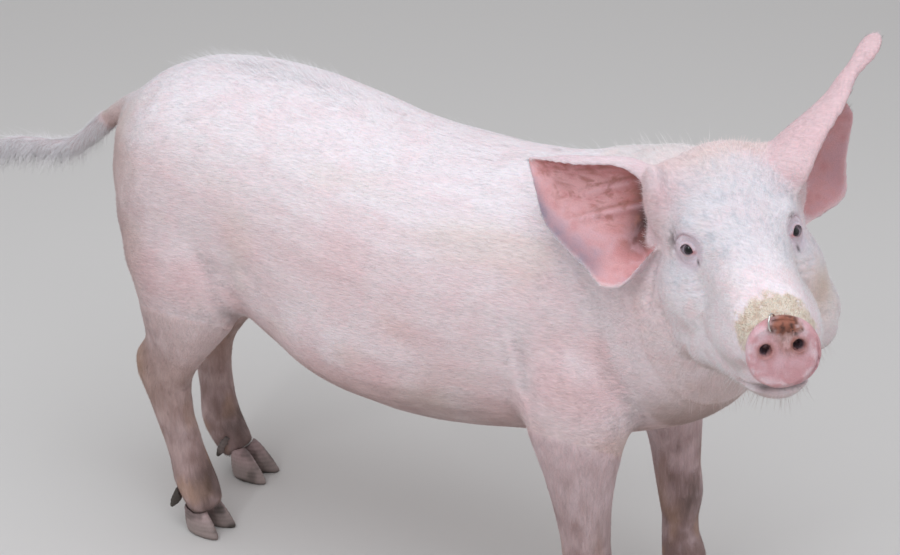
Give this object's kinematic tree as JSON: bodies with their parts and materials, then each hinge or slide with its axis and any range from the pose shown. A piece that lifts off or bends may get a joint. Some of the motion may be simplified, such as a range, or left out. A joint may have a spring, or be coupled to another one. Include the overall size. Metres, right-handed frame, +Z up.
{
  "type": "pig",
  "caption": "Standing white domestic pig, head turned to its right side, upright ears, bare metal ring in the snout; still, life-size model.",
  "frame": {"origin": "under the middle of the bounding box, at the level of the hoof soles", "axes": "+X towards the front of the body, +Y to the animal's left, +Z up"},
  "size_m": [1.4504, 0.4872, 0.8879],
  "materials": {
    "skin": "pink skin under short flat white bristles",
    "ear_skin": "bare pink skin with fine hairs",
    "eyeball": "wet, dark",
    "horn": "worn horn, grey-brown",
    "steel": "bright wire"
  },
  "bodies": {
    "root": {"trunk": "skin", "neck": "skin", "head": "skin", "tail": "skin", "leg_front_right": "skin", "leg_front_left": "skin", "leg_rear_right": "skin", "leg_rear_left": "skin", "ear_right": "ear_skin", "ear_left": "ear_skin", "eye_right": "eyeball", "eye_left": "eyeball", "nose_ring": "steel", "hoof_front_right_a": "horn", "dewclaw_front_right_a": "horn", "hoof_front_right_b": "horn", "dewclaw_front_right_b": "horn", "hoof_front_left_a": "horn", "dewclaw_front_left_a": "horn", "hoof_front_left_b": "horn", "dewclaw_front_left_b": "horn", "hoof_rear_right_a": "horn", "dewclaw_rear_right_a": "horn", "hoof_rear_right_b": "horn", "dewclaw_rear_right_b": "horn", "hoof_rear_left_a": "horn", "dewclaw_rear_left_a": "horn", "hoof_rear_left_b": "horn", "dewclaw_rear_left_b": "horn"}
  },
  "joints": []
}
